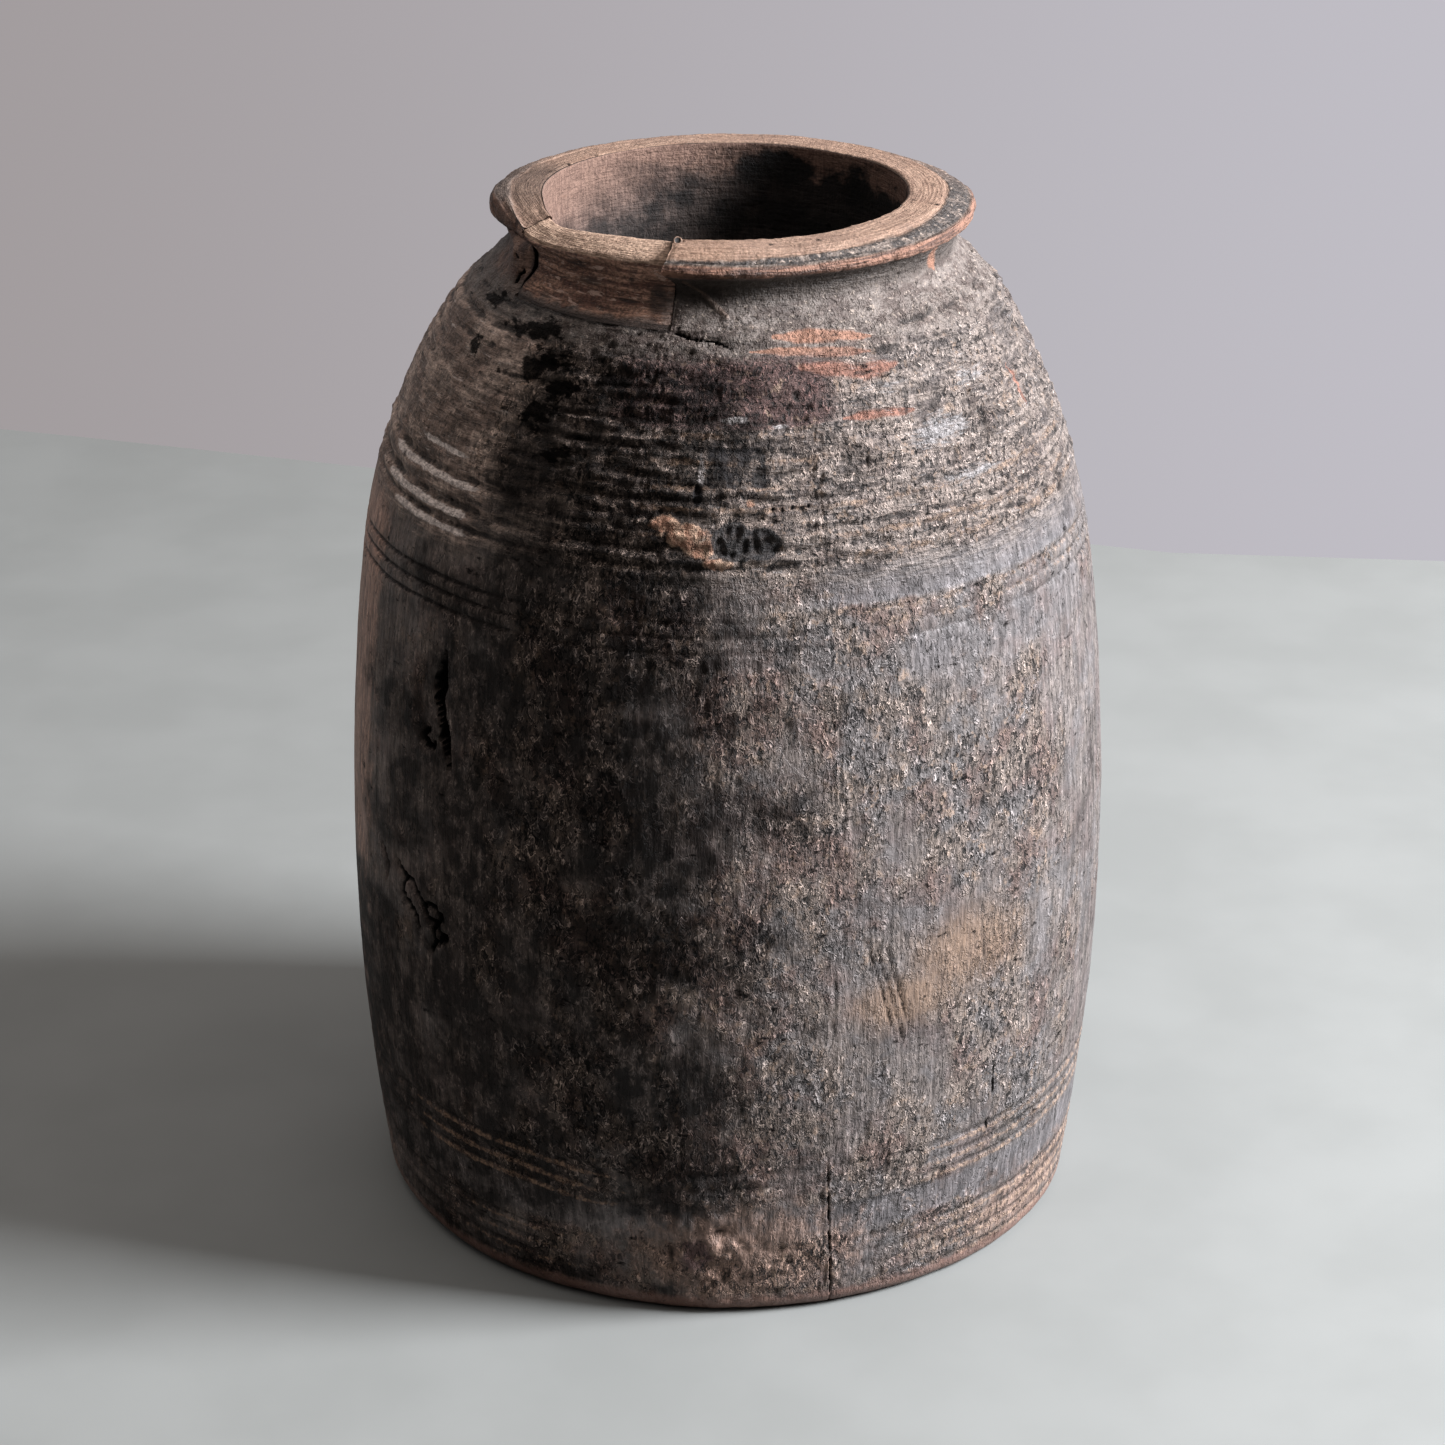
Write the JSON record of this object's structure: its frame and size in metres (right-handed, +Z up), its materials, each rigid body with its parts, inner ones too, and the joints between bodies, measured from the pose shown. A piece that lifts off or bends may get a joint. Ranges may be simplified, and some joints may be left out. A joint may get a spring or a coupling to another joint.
{
  "type": "turned wooden pot",
  "caption": "Tall hand-turned wooden vessel with rounded shoulders, short neck, flared rim, scored bands and a block let into the rim as a repair.",
  "frame": {"origin": "centre of the foot, on the surface that the pot stands on", "axes": "+Z up along the turning axis; -Y is the front, with the repaired part of the rim to the left of it; +X to the right"},
  "size_m": [0.2202, 0.2202, 0.3],
  "materials": {
    "aged_wood": "very dark brown-black patina, dry and matt, worn to tan and salmon on the rim and ridges, with fine upright grain",
    "repair_wood": "mid-brown hand-cut wood, dry and fibrous, tan on its worn top edge",
    "peg_wood": "plain whittled wood"
  },
  "bodies": {
    "root": {"vessel": "aged_wood", "rim_insert": "repair_wood", "seam_peg": "peg_wood", "insert_dowel_left": "peg_wood", "insert_dowel_right": "peg_wood"}
  },
  "joints": []
}
